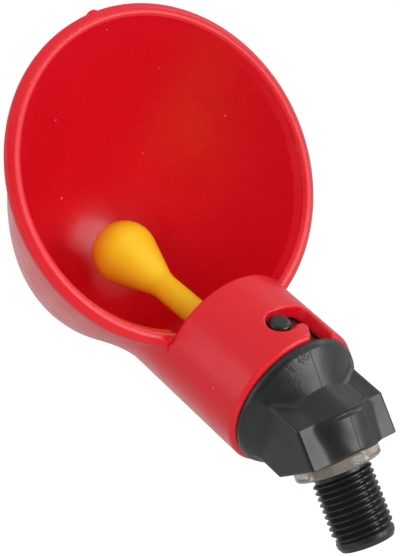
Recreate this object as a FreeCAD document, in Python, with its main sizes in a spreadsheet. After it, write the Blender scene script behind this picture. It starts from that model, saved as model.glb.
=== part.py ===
import FreeCAD, Part
import os
import Sketcher

# Poultry drinking cup: a bowl that locks by a bayonet on an angled water fitting, with a tilting trigger.
# Millimetres. The origin is the start of the thread, on its axis. +Y runs along the thread into the water
# line, and +Z is up with the bowl level. The barrel axis runs from the fitting's bend down to the bowl.

# Driving sizes in millimetres and degrees, each with what it sets
SIZES = [
    ("elbow_angle", 45, "slope of the barrel axis"),
    ("elbow_reach", 7.1, "washer's outer face to the bend point"),
    ("lip_overhang", 1.4, "how far the lip stands out past the bowl"),
    ("bead_overhang", 0.8, "how far the raised bead stands out past the bowl"),
    ("mouth_flare", 0.7, "how much wider the mouth is than the bowl inside"),
    ("rim_height", 2.1, "height of the lip with its bead"),
    ("rim_step", 0.6, "drop from the bead's top to the lip's ledge"),
    ("rim_bevel", 0.35, "eased corners of the bead"),
    ("nub_radius", 0.9, "moulding nub on the lip"),
    ("nub_proud", 0.45, "how far the nub stands out of the lip"),
    ("nub_turn", 86, "place of the nub round the rim, from the side towards the front"),
    ("bowl_radius", 27.2, "outer radius of the bowl just under the lip"),
    ("bowl_depth", 36, "rim plane to the underside of the bowl"),
    ("bowl_lean", 8.6, "how far the bowl's bottom sits towards the sleeve"),
    ("bowl_wall", 1.7, "wall of the bowl"),
    ("sleeve_offset", 21.55, "rim's centre to the sleeve's axis"),
    ("sleeve_root", 8, "how far the sleeve's core starts beyond that point, inside the bowl"),
    ("sleeve_run", 36, "point of the sleeve's axis nearest the rim's centre to the sleeve's open end"),
    ("sleeve_radius", 12.4, "outer radius of the bayonet sleeve"),
    ("sleeve_wall", 2.0, "wall of the sleeve and the hood"),
    ("sleeve_gap", 7.2, "bend point to the sleeve's open end"),
    ("sleeve_blend", 3.0, "blend between the sleeve and the bowl"),
    ("hood_length", 17.7, "sleeve's open end to the hood's inner edge"),
    ("slot_reach", 7.4, "middle of the locking pocket to the slot's far wall"),
    ("slot_entry_reach", 6.6, "middle of the locking pocket to the far wall at the sleeve's mouth"),
    ("slot_width", 4.8, "length of the locking pocket along the sleeve"),
    ("slot_corner", 0.8, "cut corner of the slot's far end"),
    ("slot_ramp", 0.25, "step that holds the lug in its pocket"),
    ("tongue_corner", 2.6, "middle of the locking pocket to the tongue's corner"),
    ("tongue_chamfer", 0.6, "cut corner of the tongue"),
    ("tongue_tip", 0.9, "middle of the locking pocket to the tongue's edge at the mouth"),
    ("spigot_play", 0.1, "radial gap between the spigot and the sleeve"),
    ("spigot_length", 16, "flange's back face to the spigot's front"),
    ("flange_play", 0.1, "gap between the flange and the sleeve's end"),
    ("flange_radius", 11.7, "outer radius of the flange"),
    ("flange_thickness", 1.2, "edge of the flange"),
    ("neck_radius", 6.8, "radius of the barrel's neck above the cone"),
    ("neck_start", 1.6, "bend point to the top of the cone"),
    ("lug_radius", 1.7, "radius of the bayonet lugs"),
    ("lug_play", 0.35, "gap between a lug and its pocket's wall"),
    ("lug_place", 5.15, "sleeve's open end to the lugs' axis"),
    ("lug_proud", 0.4, "how far a lug stands out of the sleeve"),
    ("lug_round", 0.5, "rounding of a lug's end"),
    ("hub_radius", 7.4, "radius of the hub behind the washer"),
    ("hub_taper", 0.6, "how much larger the hub is at its back"),
    ("hub_length", 6.7, "length of the hub"),
    ("wing_half_width", 8.75, "thread axis to the side of a grip wing"),
    ("wing_top", 5.9, "thread axis to the top of a grip wing"),
    ("wing_lower", 6.2, "barrel axis to the underside of a grip wing"),
    ("wing_round", 0.35, "rounding of the grip wings"),
    ("washer_thickness", 2.0, "sealing washer"),
    ("washer_radius", 7.1, "outer radius of the washer"),
    ("washer_play", 0.1, "gap between the washer and the thread"),
    ("thread_radius", 5.0, "outer radius of the thread"),
    ("thread_relief", 0.6, "depth of the relief behind the thread, under the washer"),
    ("thread_start", 0.3, "washer's outer face to the start of the thread"),
    ("thread_length", 12.4, "start of the thread to the end of the stub"),
    ("thread_lead", 1.3, "tapered lead of the stub"),
    ("thread_lead_radius", 4.3, "radius of the stub's end"),
    ("inlet_radius", 2.6, "radius of the water passage"),
    ("chamber_radius", 5.6, "radius of the valve chamber"),
    ("chamber_floor", 9.0, "bend point to the valve chamber's floor"),
    ("seat_wall", 2.0, "wall of the spigot round the seal and the retainer"),
    ("seat_play", 0.05, "gap round the seal and the retainer"),
    ("seal_thickness", 1.0, "valve seal"),
    ("seal_bore", 3.3, "inner radius of the valve seal"),
    ("retainer_thickness", 2.6, "seat retainer"),
    ("retainer_bore", 3.0, "inner radius of the retainer at the seal"),
    ("retainer_flare", 0.9, "how much wider the retainer's bore is at its mouth"),
    ("trigger_droop", 2.4, "angle at which the trigger hangs below the barrel axis"),
    ("trigger_stem", 2.1, "radius of the trigger's stem"),
    ("trigger_neck", 22.6, "valve head to the start of the pear-shaped end"),
    ("trigger_sweep", 14, "radius of the curve from the stem into the pear-shaped end"),
    ("trigger_reach", 33.6, "valve head to the middle of the bulb"),
    ("bulb_radius", 4.8, "radius of the trigger's bulb"),
    ("head_radius", 4.6, "radius of the trigger's valve head"),
    ("head_thickness", 1.6, "thickness of the valve head"),
    ("head_play", 0.05, "gap between the valve head and the seal"),
    ("pilot_radius", 1.9, "radius of the spring's pilot behind the head"),
    ("pilot_length", 1.6, "length of the spring's pilot"),
    ("spring_radius", 2.75, "middle radius of the return spring"),
    ("spring_wire", 0.25, "radius of the spring's wire"),
    ("spring_turns", 5, "turns of the return spring"),
    ("spring_play", 0.35, "room between the spring and the drooping valve head"),
]

# The bowl's sections narrow downwards: each is a share of the radius, and its depth goes with that cubed
BOWL_SHARES = (0.93, 0.85, 0.75, 0.62, 0.45, 0.25, 0.1)
# The outside starts above the rim and is cut down to it; the inside starts at the mouth's foot
OUTSIDE_TOP = 1.03
INSIDE_TOP = 1
# Where the taper of the trigger's end runs into the bulb, from the stem's axis
BULB_TANGENT = 75

X_AXIS = FreeCAD.Vector(1, 0, 0)

doc = FreeCAD.newDocument("drinking_cup")
sheet = doc.addObject("Spreadsheet::Sheet", "Sizes")
for row, (alias, size, meaning) in enumerate(SIZES, start=1):
    sheet.set(f"A{row}", meaning)
    sheet.set(f"B{row}", str(size))
    sheet.setAlias(f"B{row}", alias)
doc.recompute()

# Places that follow from the driving sizes, as expressions
COS = "cos(Sizes.elbow_angle)"
SIN = "sin(Sizes.elbow_angle)"
LUG_LEVEL = "(Sizes.sleeve_run - Sizes.lug_place)"
SLOT_OUTER = f"({LUG_LEVEL} + Sizes.lug_radius + Sizes.lug_play)"
SLOT_INNER = f"({SLOT_OUTER} - Sizes.slot_width)"
TONGUE_EDGE = f"({SLOT_OUTER} - Sizes.slot_ramp)"
SLEEVE_BORE = "(Sizes.sleeve_radius - Sizes.sleeve_wall)"
SPIGOT_RADIUS = f"({SLEEVE_BORE} - Sizes.spigot_play)"
FLANGE_BACK = "(Sizes.sleeve_gap - Sizes.flange_play)"
FLANGE_FACE = f"({FLANGE_BACK} - Sizes.flange_thickness)"
SPIGOT_FRONT = f"({FLANGE_BACK} + Sizes.spigot_length)"
RETAINER_BACK = f"({SPIGOT_FRONT} - Sizes.retainer_thickness)"
SEAT = f"({RETAINER_BACK} - Sizes.seal_thickness)"
SEAT_RADIUS = f"({SPIGOT_RADIUS} - Sizes.seat_wall)"
SEAL_RADIUS = f"({SEAT_RADIUS} - Sizes.seat_play)"
LIP_RADIUS = "(Sizes.bowl_radius + Sizes.lip_overhang)"
BEAD_RADIUS = "(Sizes.bowl_radius + Sizes.bead_overhang)"
BEYOND_LIP = f"(1.2 * {LIP_RADIUS})"
HOLLOW_RADIUS = "(Sizes.bowl_radius - Sizes.bowl_wall)"
MOUTH_RADIUS = f"({HOLLOW_RADIUS} + Sizes.mouth_flare)"
BEND = "(Sizes.thread_start + Sizes.elbow_reach)"
WASHER_FACE = "(0 - Sizes.thread_start)"
HUB_FRONT = f"({WASHER_FACE} - Sizes.washer_thickness)"
HUB_BACK = f"({HUB_FRONT} - Sizes.hub_length)"
CLEAR = "(2 * Sizes.flange_radius)"
THREAD_ROOT = "(Sizes.thread_radius - Sizes.thread_relief)"


def value(text):
    """The present value of an expression over the sizes."""
    answer = sheet.evalExpression(text)
    return float(getattr(answer, "Value", answer))


def new_body(label):
    body = doc.addObject("PartDesign::Body", label)
    body.Label = label
    return body


def new_sketch(body, name, plane, turn=None, base=("0", "0", "0")):
    """A sketch on one of the body's own planes, turned by (axis, angle) and shifted by expressions."""
    sketch = body.newObject("Sketcher::SketchObject", name)
    own_plane = [item for item in body.Origin.OriginFeatures if item.Role == plane][0]
    sketch.AttachmentSupport = [(own_plane, "")]
    sketch.MapMode = "FlatFace"
    if turn:
        axis, angle = turn
        sketch.AttachmentOffset = FreeCAD.Placement(FreeCAD.Vector(), FreeCAD.Rotation(axis, value(angle)))
        sketch.setExpression("AttachmentOffset.Rotation.Angle", angle)
    for letter, text in zip("xyz", base):
        sketch.setExpression(f"AttachmentOffset.Base.{letter}", text)
    return sketch


def pin_point(sketch, geometry, end, place):
    """Ties a point of the sketch to a place that two expressions give."""
    for kind, axis, text in (("DistanceX", -2, place[0]), ("DistanceY", -1, place[1])):
        if text == "0":
            sketch.addConstraint(Sketcher.Constraint("PointOnObject", geometry, end, axis))
        else:
            index = sketch.addConstraint(Sketcher.Constraint(kind, -1, 1, geometry, end, value(text)))
            sketch.setExpression(f"Constraints[{index}]", text)


def outline(sketch, places):
    """A closed outline of straight lines through places that expressions give."""
    corners = [FreeCAD.Vector(value(x), value(y), 0) for x, y in places]
    count = len(corners)
    for index, corner in enumerate(corners):
        sketch.addGeometry(Part.LineSegment(corner, corners[(index + 1) % count]))
    for index, place in enumerate(places):
        sketch.addConstraint(Sketcher.Constraint("Coincident", index, 2, (index + 1) % count, 1))
        pin_point(sketch, index, 1, place)
    return sketch


def circle(sketch, radius, centre=("0", "0")):
    """A circle whose radius and centre are expressions."""
    middle = FreeCAD.Vector(value(centre[0]), value(centre[1]), 0)
    geometry = sketch.addGeometry(Part.Circle(middle, FreeCAD.Vector(0, 0, 1), value(radius)))
    pin_point(sketch, geometry, 3, centre)
    index = sketch.addConstraint(Sketcher.Constraint("Radius", geometry, value(radius)))
    sketch.setExpression(f"Constraints[{index}]", radius)
    return sketch


def turned(body, name, kind, sketch, axis="H_Axis"):
    """A full turn of a profile; kind is Revolution or Groove."""
    feature = body.newObject(f"PartDesign::{kind}", name)
    feature.Profile = sketch
    feature.ReferenceAxis = (sketch, [axis])
    feature.Angle = 360
    return feature


def extruded(body, name, kind, sketch, length, both_ways=False, reverse=False):
    """A straight extrusion; kind is Pad or Pocket."""
    feature = body.newObject(f"PartDesign::{kind}", name)
    feature.Profile = sketch
    feature.setExpression("Length", length)
    feature.Midplane = both_ways
    feature.Reversed = reverse
    return feature


def lofted(body, name, kind, sections):
    """A smooth skin through sections; kind is AdditiveLoft or SubtractiveLoft."""
    feature = body.newObject(f"PartDesign::{kind}", name)
    feature.Profile = sections[0]
    feature.Sections = sections[1:]
    feature.Ruled = False
    return feature


def round_edges(body, name, radius, wanted):
    """Rounds the edges that the test picks out of the body's present shape."""
    doc.recompute()
    base = body.Tip
    names = [f"Edge{n}" for n, edge in enumerate(base.Shape.Edges, start=1) if wanted(edge)]
    feature = body.newObject("PartDesign::Fillet", name)
    feature.Base = (base, names)
    feature.setExpression("Radius", radius)
    return feature


def is_ring(edge, radius):
    """True for a whole circle of a given radius."""
    if edge.Degenerated or not edge.Closed or not isinstance(edge.Curve, Part.Circle):
        return False
    return abs(edge.Curve.Radius - value(radius)) < 1e-4


def faces_beside(body, edge):
    """The kinds of the faces that meet at an edge."""
    return {type(face.Surface).__name__ for face in body.Tip.Shape.ancestorsOfType(edge, Part.Face)}


def place_on_barrel(body, distance, tilt="0", above="0"):
    """Puts a body's own Z along the barrel axis towards the bowl, at a distance from the bend."""
    turn = f"180 - Sizes.elbow_angle + {tilt}"
    body.Placement = FreeCAD.Placement(FreeCAD.Vector(), FreeCAD.Rotation(X_AXIS, value(turn)))
    body.setExpression("Placement.Rotation.Angle", turn)
    body.setExpression("Placement.Base.y", f"-{BEND} - {distance} * {COS} - {above} * {SIN}")
    body.setExpression("Placement.Base.z", f"-{distance} * {SIN} + {above} * {COS}")


def barrel_sketch(body, name):
    """A profile plane whose X runs from the bend along the barrel axis, towards the bowl."""
    turn = (FreeCAD.Vector(0, 0, -1), "180 - Sizes.elbow_angle")
    return new_sketch(body, name, "YZ_Plane", turn, (f"-{BEND}", "0", "0"))


def bowl_sections(body, name, top, radius, depth):
    """Level circles that narrow downwards and drift towards the sleeve."""
    sections = []
    for number, share in enumerate((top, *BOWL_SHARES)):
        fall = round(1 - share**3, 5)
        level = f"-(Sizes.rim_height + ({depth} - Sizes.rim_height) * {fall})"
        base = ("0", f"Sizes.bowl_lean * {fall}", level)
        sketch = new_sketch(body, f"{name}_section_{number}", "XY_Plane", base=base)
        sections.append(circle(sketch, f"{radius} * {share}"))
    return sections


def make_cup():
    """Bowl, rim, hood and bayonet sleeve in one moulding; its own origin is the rim's centre."""
    cup = new_body("drinking_cup")
    cup.setExpression(
        "Placement.Base.y",
        f"-{BEND} - Sizes.sleeve_offset * {SIN} "
        f"- (Sizes.sleeve_run + Sizes.sleeve_gap) * {COS}",
    )
    cup.setExpression(
        "Placement.Base.z",
        f"Sizes.sleeve_offset * {COS} - (Sizes.sleeve_run + Sizes.sleeve_gap) * {SIN}",
    )
    foot_y = f"Sizes.sleeve_offset * {SIN}"
    foot_z = f"-Sizes.sleeve_offset * {COS}"
    across = (FreeCAD.Vector(-1, 0, 0), "90 - Sizes.elbow_angle")
    root = ("0", f"{foot_y} - Sizes.sleeve_root * {COS}", f"{foot_z} - Sizes.sleeve_root * {SIN}")
    sleeve = circle(new_sketch(cup, "sleeve_outline", "XY_Plane", across, root), "Sizes.sleeve_radius")
    extruded(cup, "sleeve", "Pad", sleeve, "Sizes.sleeve_run + Sizes.sleeve_root")
    outside = bowl_sections(cup, "outside", OUTSIDE_TOP, "Sizes.bowl_radius", "Sizes.bowl_depth")
    lofted(cup, "bowl", "AdditiveLoft", outside)
    round_edges(cup, "sleeve_blending", "Sizes.sleeve_blend", lambda edge: (
        faces_beside(cup, edge) == {"Cylinder", "BSplineSurface"}
    ))

    hood_start = "(Sizes.sleeve_run - Sizes.hood_length)"
    hood_above = "(Sizes.sleeve_radius + 1)"
    edge_y = f"({foot_y} + {hood_start} * {COS})"
    edge_z = f"({foot_z} + {hood_start} * {SIN})"
    lip_middle = "((Sizes.rim_height + Sizes.rim_step) / 2)"
    hood_cut = outline(new_sketch(cup, "hood_edge", "YZ_Plane"), [
        (f"{edge_y} + ({edge_z} + {lip_middle}) * {SIN} / {COS}", f"-{lip_middle}"),
        (f"{edge_y} - {hood_above} * {SIN}", f"{edge_z} + {hood_above} * {COS}"),
        (f"-{BEYOND_LIP}", f"{edge_z} + {hood_above} * {COS}"),
        (f"-{BEYOND_LIP}", f"-{lip_middle}"),
    ])
    extruded(cup, "hood_opening", "Pocket", hood_cut, f"2 * {BEYOND_LIP}", both_ways=True)

    rim = outline(new_sketch(cup, "rim_profile", "XZ_Plane"), [
        ("0", "-Sizes.rim_height"),
        (LIP_RADIUS, "-Sizes.rim_height"),
        (LIP_RADIUS, "-Sizes.rim_step"),
        (BEAD_RADIUS, "-Sizes.rim_step"),
        (BEAD_RADIUS, "-Sizes.rim_bevel"),
        (f"{BEAD_RADIUS} - Sizes.rim_bevel", "0"),
        ("0", "0"),
    ])
    turned(cup, "rim", "Revolution", rim, "V_Axis")
    inside = bowl_sections(cup, "inside", INSIDE_TOP, HOLLOW_RADIUS, "(Sizes.bowl_depth - Sizes.bowl_wall)")
    lofted(cup, "hollow", "SubtractiveLoft", inside)
    mouth = outline(new_sketch(cup, "mouth_profile", "XZ_Plane"), [
        ("0", "-2 * Sizes.rim_height"),
        (HOLLOW_RADIUS, "-Sizes.rim_height"),
        (MOUTH_RADIUS, "-Sizes.rim_step"),
        (MOUTH_RADIUS, "-Sizes.rim_bevel"),
        (f"{MOUTH_RADIUS} + 2 * Sizes.rim_bevel", "Sizes.rim_bevel"),
        ("0", "Sizes.rim_bevel"),
    ])
    turned(cup, "mouth", "Groove", mouth, "V_Axis")
    end = ("0", f"{foot_y} + Sizes.sleeve_run * {COS}", f"{foot_z} + Sizes.sleeve_run * {SIN}")
    bore = circle(new_sketch(cup, "bore_outline", "XY_Plane", across, end), SLEEVE_BORE)
    extruded(cup, "bore", "Pocket", bore, "Sizes.sleeve_run + Sizes.sleeve_root / 2")
    nub_reach = f"({LIP_RADIUS} + Sizes.nub_proud - Sizes.nub_radius)"
    nub_place = (f"{nub_reach} * cos(Sizes.nub_turn)", f"-{nub_reach} * sin(Sizes.nub_turn)")
    nub = new_sketch(cup, "nub_outline", "XY_Plane", base=("0", "0", "-Sizes.rim_height"))
    circle(nub, "Sizes.nub_radius", nub_place)
    extruded(cup, "nub", "Pad", nub, "Sizes.rim_height - Sizes.rim_step")

    along = (X_AXIS, "Sizes.elbow_angle")
    slot = outline(new_sketch(cup, "slot_outline", "XY_Plane", along, ("0", foot_y, foot_z)), [
        ("0", SLOT_INNER),
        ("0", TONGUE_EDGE),
        ("-(Sizes.tongue_corner - Sizes.tongue_chamfer)", TONGUE_EDGE),
        ("-Sizes.tongue_corner", f"{TONGUE_EDGE} + Sizes.tongue_chamfer"),
        ("-Sizes.tongue_tip", "Sizes.sleeve_run"),
        ("-Sizes.tongue_tip", "Sizes.sleeve_run + 1"),
        ("-Sizes.slot_entry_reach", "Sizes.sleeve_run + 1"),
        ("-Sizes.slot_entry_reach", "Sizes.sleeve_run"),
        ("-Sizes.slot_reach", LUG_LEVEL),
        ("-Sizes.slot_reach", f"{SLOT_INNER} + Sizes.slot_corner"),
        ("-(Sizes.slot_reach - Sizes.slot_corner)", SLOT_INNER),
    ])
    slot_cut = extruded(cup, "slot", "Pocket", slot, "Sizes.sleeve_radius + 1", reverse=True)
    pocket = new_sketch(cup, "pocket_outline", "XY_Plane", along, ("0", foot_y, foot_z))
    circle(pocket, "Sizes.slot_width / 2", ("0", f"{SLOT_OUTER} - Sizes.slot_width / 2"))
    pocket_cut = extruded(cup, "pocket", "Pocket", pocket, "Sizes.sleeve_radius + 1", reverse=True)
    pair = cup.newObject("PartDesign::PolarPattern", "slot_pair")
    pair.Originals = [slot_cut, pocket_cut]
    pair.Axis = (slot, ["V_Axis"])
    pair.Angle = 360
    pair.Occurrences = 2
    cup.Tip = pair
    return cup


def make_elbow():
    """Spigot with lugs, flange, cone, neck, grip wings, hub and threaded stub in one moulding."""
    elbow = new_body("elbow_body")
    barrel = outline(barrel_sketch(elbow, "barrel_profile"), [
        (SPIGOT_FRONT, "0"),
        (SPIGOT_FRONT, SPIGOT_RADIUS),
        (FLANGE_BACK, SPIGOT_RADIUS),
        (FLANGE_BACK, "Sizes.flange_radius"),
        (FLANGE_FACE, "Sizes.flange_radius"),
        ("Sizes.neck_start", "Sizes.neck_radius"),
        (f"-(({BEND} + {HUB_BACK}) / {COS} + Sizes.neck_radius)", "Sizes.neck_radius"),
        (f"-(({BEND} + {HUB_BACK}) / {COS} + Sizes.neck_radius)", "0"),
    ])
    turned(elbow, "barrel", "Revolution", barrel)
    cone_top = f"-(Sizes.neck_start + ({HUB_BACK} + {BEND}) * {COS}) / {SIN}"
    over_hub = outline(new_sketch(elbow, "hub_clearing", "YZ_Plane"), [
        (HUB_BACK, cone_top),
        (HUB_BACK, CLEAR),
        (CLEAR, CLEAR),
        (CLEAR, f"-{CLEAR}"),
        (HUB_FRONT, f"-{CLEAR}"),
        (HUB_FRONT, cone_top),
    ])
    extruded(elbow, "neck_trim", "Pocket", over_hub, "4 * Sizes.neck_radius", both_ways=True)
    hub = outline(new_sketch(elbow, "hub_profile", "YZ_Plane"), [
        (HUB_BACK, "0"),
        (HUB_BACK, "Sizes.hub_radius + Sizes.hub_taper"),
        (HUB_FRONT, "Sizes.hub_radius"),
        (HUB_FRONT, THREAD_ROOT),
        ("0", THREAD_ROOT),
        ("0", "Sizes.thread_radius"),
        ("Sizes.thread_length - Sizes.thread_lead", "Sizes.thread_radius"),
        ("Sizes.thread_length", "Sizes.thread_lead_radius"),
        ("Sizes.thread_length", "0"),
    ])
    turned(elbow, "hub_and_stub", "Revolution", hub)
    slope = f"({FLANGE_FACE} + ({HUB_BACK} + {BEND}) * {COS} + Sizes.wing_top * {SIN})"
    wings = outline(new_sketch(elbow, "wing_outline", "YZ_Plane"), [
        (HUB_FRONT, "Sizes.wing_top"),
        (HUB_BACK, "Sizes.wing_top"),
        (f"{HUB_BACK} - {slope} * {COS}", f"Sizes.wing_top - {slope} * {SIN}"),
        (
            f"-{BEND} - {FLANGE_FACE} * {COS} + Sizes.wing_lower * {SIN}",
            f"-{FLANGE_FACE} * {SIN} - Sizes.wing_lower * {COS}",
        ),
        (HUB_FRONT, f"({HUB_FRONT} + {BEND}) * {SIN} / {COS} - Sizes.wing_lower / {COS}"),
    ])
    extruded(elbow, "wings", "Pad", wings, "2 * Sizes.wing_half_width", both_ways=True)
    round_edges(elbow, "wing_rounding", "Sizes.wing_round", lambda edge: (
        isinstance(edge.Curve, Part.Line)
        and all(abs(abs(point.X) - value("Sizes.wing_half_width")) < 1e-4 for point in edge.Vertexes)
    ))
    lug_turn = (X_AXIS, "Sizes.elbow_angle")
    lugs = new_sketch(elbow, "lug_outline", "XY_Plane", lug_turn, ("0", f"-{BEND}", "0"))
    circle(lugs, "Sizes.lug_radius", ("0", "-(Sizes.sleeve_gap + Sizes.lug_place)"))
    extruded(elbow, "lugs", "Pad", lugs, "2 * (Sizes.sleeve_radius + Sizes.lug_proud)", both_ways=True)
    round_edges(elbow, "lug_rounding", "Sizes.lug_round", lambda edge: is_ring(edge, "Sizes.lug_radius"))
    chamber = outline(barrel_sketch(elbow, "chamber_profile"), [
        (f"{SPIGOT_FRONT} + 1", "0"),
        (f"{SPIGOT_FRONT} + 1", SEAT_RADIUS),
        (SEAT, SEAT_RADIUS),
        (SEAT, "Sizes.chamber_radius"),
        ("Sizes.chamber_floor", "Sizes.chamber_radius"),
        ("Sizes.chamber_floor", "Sizes.inlet_radius"),
        ("0", "Sizes.inlet_radius"),
        ("0", "0"),
    ])
    turned(elbow, "chamber", "Groove", chamber)
    inlet = outline(new_sketch(elbow, "inlet_profile", "YZ_Plane"), [
        (f"-{BEND}", "0"),
        (f"-{BEND}", "Sizes.inlet_radius"),
        ("Sizes.thread_length + 1", "Sizes.inlet_radius"),
        ("Sizes.thread_length + 1", "0"),
    ])
    turned(elbow, "inlet", "Groove", inlet)
    return elbow


def make_ring(label, profile, distance):
    """A turned ring that sits on the barrel axis."""
    ring = new_body(label)
    sketch = outline(new_sketch(ring, f"{label}_profile", "XZ_Plane"), profile)
    turned(ring, f"{label}_ring", "Revolution", sketch, "V_Axis")
    place_on_barrel(ring, distance)
    return ring


def make_washer():
    """Sealing washer between the hub and the water line's wall."""
    washer = new_body("sealing_washer")
    bore = "Sizes.thread_radius + Sizes.washer_play"
    profile = outline(new_sketch(washer, "washer_profile", "YZ_Plane"), [
        (HUB_FRONT, bore),
        (HUB_FRONT, "Sizes.washer_radius"),
        (WASHER_FACE, "Sizes.washer_radius"),
        (WASHER_FACE, bore),
    ])
    turned(washer, "washer_ring", "Revolution", profile)
    return washer


def make_trigger():
    """Valve head, stem and pear-shaped end; its own origin is the edge that the valve head tips about."""
    trigger = new_body("trigger")
    stem_line = "-Sizes.head_radius"
    join_radius = f"Sizes.bulb_radius * sin({BULB_TANGENT})"
    join_level = f"Sizes.trigger_reach - Sizes.bulb_radius * cos({BULB_TANGENT})"
    pilot_back = "-(Sizes.head_thickness + Sizes.pilot_length)"
    profile = outline(new_sketch(trigger, "trigger_profile", "YZ_Plane", base=(stem_line, "0", "0")), [
        ("0", pilot_back),
        ("Sizes.pilot_radius", pilot_back),
        ("Sizes.pilot_radius", "-Sizes.head_thickness"),
        ("Sizes.head_radius", "-Sizes.head_thickness"),
        ("Sizes.head_radius", "0"),
        ("Sizes.trigger_stem", "0"),
        ("Sizes.trigger_stem", "Sizes.trigger_neck"),
        (join_radius, join_level),
        ("0", join_level),
    ])
    turned(trigger, "trigger_turning", "Revolution", profile, "V_Axis")
    bulb = trigger.newObject("PartDesign::AdditiveSphere", "bulb")
    level_plane = [item for item in trigger.Origin.OriginFeatures if item.Role == "XY_Plane"][0]
    bulb.AttachmentSupport = [(level_plane, "")]
    bulb.MapMode = "FlatFace"
    bulb.setExpression("AttachmentOffset.Base.y", stem_line)
    bulb.setExpression("AttachmentOffset.Base.z", "Sizes.trigger_reach")
    bulb.setExpression("Radius", "Sizes.bulb_radius")
    round_edges(trigger, "neck_sweep", "Sizes.trigger_sweep", lambda edge: (
        is_ring(edge, "Sizes.trigger_stem") and edge.CenterOfMass.z > 1
    ))
    place_on_barrel(trigger, f"({SEAT} - Sizes.head_play)", "Sizes.trigger_droop", "Sizes.head_radius")
    return trigger


def make_spring():
    """Return spring between the chamber's floor and the valve head."""
    spring = new_body("return_spring")
    wire = outline(new_sketch(spring, "wire_outline", "XZ_Plane"), [
        (
            f"Sizes.spring_radius + Sizes.spring_wire * cos({turn})",
            f"Sizes.spring_wire * sin({turn})",
        )
        for turn in range(30, 390, 60)
    ])
    coil = spring.newObject("PartDesign::AdditiveHelix", "coil")
    coil.Profile = wire
    coil.ReferenceAxis = (wire, ["V_Axis"])
    coil.Mode = "height-turns-angle"
    coil.setExpression(
        "Height",
        f"{SEAT} - Sizes.head_thickness - Sizes.chamber_floor - 2 * Sizes.spring_wire - Sizes.spring_play",
    )
    coil.setExpression("Turns", "Sizes.spring_turns")
    place_on_barrel(spring, "(Sizes.chamber_floor + Sizes.spring_wire)")
    return spring


def make_all():
    seal_profile = [
        ("Sizes.seal_bore", "0"),
        (SEAL_RADIUS, "0"),
        (SEAL_RADIUS, "Sizes.seal_thickness"),
        ("Sizes.seal_bore", "Sizes.seal_thickness"),
    ]
    retainer_profile = [
        ("Sizes.retainer_bore", "0"),
        (SEAL_RADIUS, "0"),
        (SEAL_RADIUS, "Sizes.retainer_thickness"),
        ("Sizes.retainer_bore + Sizes.retainer_flare", "Sizes.retainer_thickness"),
    ]
    return [
        make_cup(),
        make_elbow(),
        make_washer(),
        make_ring("seat_seal", seal_profile, SEAT),
        make_ring("seat_retainer", retainer_profile, RETAINER_BACK),
        make_trigger(),
        make_spring(),
    ]


def write_parts(bodies):
    """Checks every object and shape, and only then writes the files."""
    doc.recompute()
    failed = [item.Name for item in doc.Objects if "Invalid" in item.State or "Error" in item.State]
    unsound = [body.Label for body in bodies if body.Shape.isNull() or not body.Shape.isValid()]
    if failed or unsound:
        raise RuntimeError(f"failed objects {failed}, unsound shapes {unsound}")
    os.makedirs("parts", exist_ok=True)
    for body in bodies:
        box = body.Shape.BoundBox
        print(f"{body.Label}: {len(body.Shape.Solids)} solid, {body.Shape.Volume:.1f} mm3, "
              f"Y {box.YMin:.2f} to {box.YMax:.2f}, Z {box.ZMin:.2f} to {box.ZMax:.2f}")
        body.Shape.exportStep(f"parts/{body.Label}.step")


write_parts(make_all())
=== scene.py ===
import math

import bmesh
import bpy
import numpy as np
from mathutils import Matrix, Vector


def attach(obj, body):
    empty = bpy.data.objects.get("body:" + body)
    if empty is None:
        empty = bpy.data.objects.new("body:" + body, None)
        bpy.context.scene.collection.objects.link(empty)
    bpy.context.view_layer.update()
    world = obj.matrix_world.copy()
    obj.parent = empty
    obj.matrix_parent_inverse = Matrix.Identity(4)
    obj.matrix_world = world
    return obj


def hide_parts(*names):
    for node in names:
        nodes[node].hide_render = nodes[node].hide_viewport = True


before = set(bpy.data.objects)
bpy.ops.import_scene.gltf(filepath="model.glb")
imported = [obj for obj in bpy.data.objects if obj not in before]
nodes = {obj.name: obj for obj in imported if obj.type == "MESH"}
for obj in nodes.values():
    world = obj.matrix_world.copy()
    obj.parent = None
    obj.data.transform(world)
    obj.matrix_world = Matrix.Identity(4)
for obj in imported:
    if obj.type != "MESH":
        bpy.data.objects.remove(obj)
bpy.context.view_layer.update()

MM = 0.001

# The cup hangs from its water fitting: +Y runs along the thread into the water line, and +Z is up.
# The barrel axis runs from the bend of the fitting down and back to the bowl.
SLOPE = math.radians(45)
DOWN = np.array((0, -math.cos(SLOPE), -math.sin(SLOPE)))
RISE = np.array((0, -math.sin(SLOPE), math.cos(SLOPE)))
BEND = np.array((0, -7.4, 0)) * MM
SLEEVE_END = 7.2 * MM
SLEEVE_RUN = 36 * MM
SLEEVE_OFFSET = 21.55 * MM
RIM_CENTRE = BEND + DOWN * (SLEEVE_END + SLEEVE_RUN) + RISE * SLEEVE_OFFSET

# Bowl and rim
BOWL_RADIUS = 27.2 * MM
BOWL_DEPTH = 36 * MM
BOWL_LEAN = 8.6 * MM
BOWL_WALL = 1.7 * MM
RIM_HEIGHT = 2.1 * MM
RIM_STEP = 0.6 * MM
LIP_RADIUS = 28.6 * MM
BEAD_RADIUS = 28.0 * MM
MOUTH_RADIUS = 26.2 * MM
BEAD_ROUND = 0.6 * MM
MOUTH_ROUND = 0.8 * MM
LIP_ROUND = 0.4 * MM
LIP_FILLET = 0.5 * MM
RIM_BLEND = 0.4 * MM
BOWL_LAP = 1.0 * MM
MOUTH_LAP = 0.1 * MM
NUB_TURN = math.radians(86)
NUB_RADIUS = 0.9 * MM
NUB_PROUD = 0.4 * MM
NUB_ROUND = 0.25 * MM
NUB_BLEND = 0.3 * MM

# The bowl's wall formula gives way to its floor formula below this share of the radius, over this width
FLOOR_SHARE = 0.35
FLOOR_FADE = 0.15

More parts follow.
